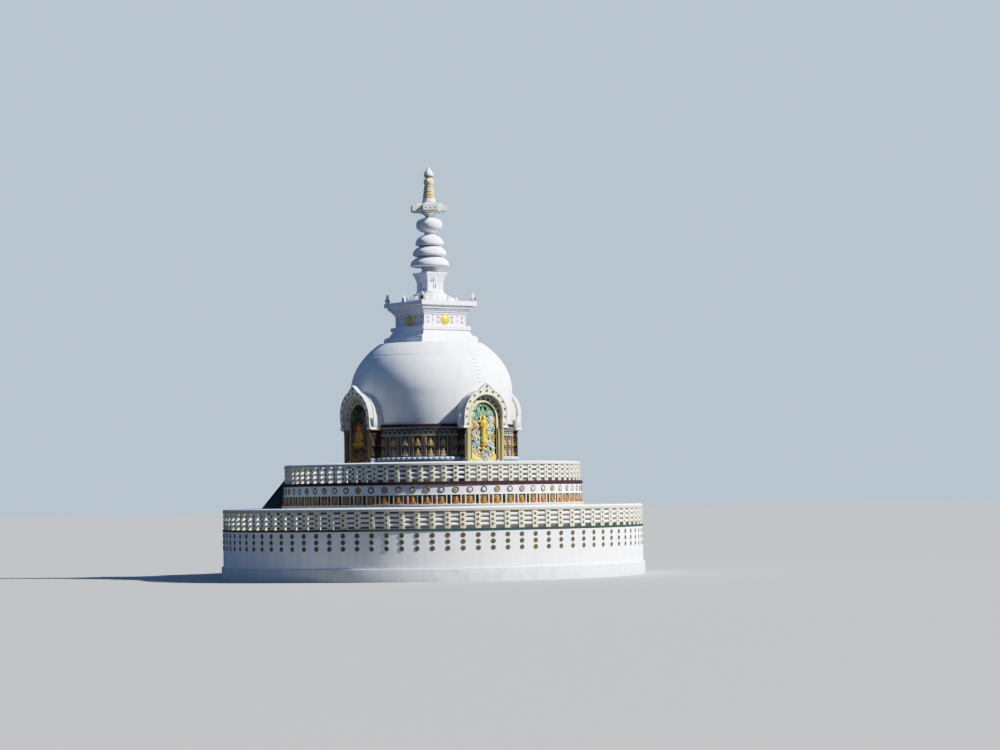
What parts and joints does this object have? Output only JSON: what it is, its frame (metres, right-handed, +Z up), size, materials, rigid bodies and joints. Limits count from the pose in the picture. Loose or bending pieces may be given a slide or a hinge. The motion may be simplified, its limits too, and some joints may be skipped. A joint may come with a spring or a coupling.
{
  "type": "stupa",
  "caption": "Round white stupa with two railed terraces, four arched porches, a dome, a square top and a ringed spire, and a rear stair.",
  "frame": {"origin": "on the stupa's own axis at ground level", "axes": "+Z up, +Y towards the rear stair, -Y towards the front porch"},
  "size_m": [28.6, 35.3, 27.84],
  "materials": {
    "whitewash": "matte limewash",
    "grey_render": "matte cement render",
    "cream_paint": "matte paint",
    "carved_paint": "painted relief",
    "dark_trim": "matte paint",
    "blue_trim": "matte paint",
    "ochre_paint": "gold paint",
    "weathered_gold": "worn gold paint",
    "stair_concrete": "matte concrete"
  },
  "bodies": {
    "root": {"dome": "whitewash", "east_lower_balustrade": "whitewash", "east_upper_balustrade": "dark_trim", "east_wing_parapet": "whitewash", "eaves_band": "dark_trim", "eaves_cornice": "dark_trim", "finial": "weathered_gold", "frieze_drum": "carved_paint", "front_porch": "cream_paint", "front_relief": "ochre_paint", "harmika_base": "whitewash", "harmika_box": "cream_paint", "harmika_cornice": "whitewash", "left_porch": "cream_paint", "left_relief": "ochre_paint", "lotus_base": "whitewash", "lower_coping": "whitewash", "lower_drum": "whitewash", "lower_flight": "stair_concrete", "lower_railing_1": "cream_paint", "lower_railing_2": "cream_paint", "lower_railing_3": "cream_paint", "lower_railing_4": "cream_paint", "lower_railing_5": "cream_paint", "lower_railing_6": "cream_paint", "lower_railing_7": "cream_paint", "lower_railing_8": "cream_paint", "lower_ring": "whitewash", "lower_terrace": "stair_concrete", "medallion_band": "whitewash", "middle_base": "whitewash", "middle_ring": "whitewash", "niche_band": "carved_paint", "petal_ledge": "blue_trim", "plinth_course": "grey_render", "rear_porch": "cream_paint", "rear_relief": "ochre_paint", "right_porch": "cream_paint", "right_relief": "ochre_paint", "shrine_base": "whitewash", "spire_ball": "whitewash", "spire_capital": "whitewash", "stair_landing": "whitewash", "umbrella": "whitewash", "upper_coping": "whitewash", "upper_flight": "stair_concrete", "upper_railing_1": "cream_paint", "upper_railing_2": "cream_paint", "upper_railing_3": "cream_paint", "upper_railing_4": "cream_paint", "upper_railing_5": "cream_paint", "upper_railing_6": "cream_paint", "upper_railing_7": "cream_paint", "upper_ring": "whitewash", "upper_terrace": "dark_trim", "west_lower_balustrade": "whitewash", "west_upper_balustrade": "dark_trim", "west_wing_parapet": "whitewash"}
  },
  "joints": []
}
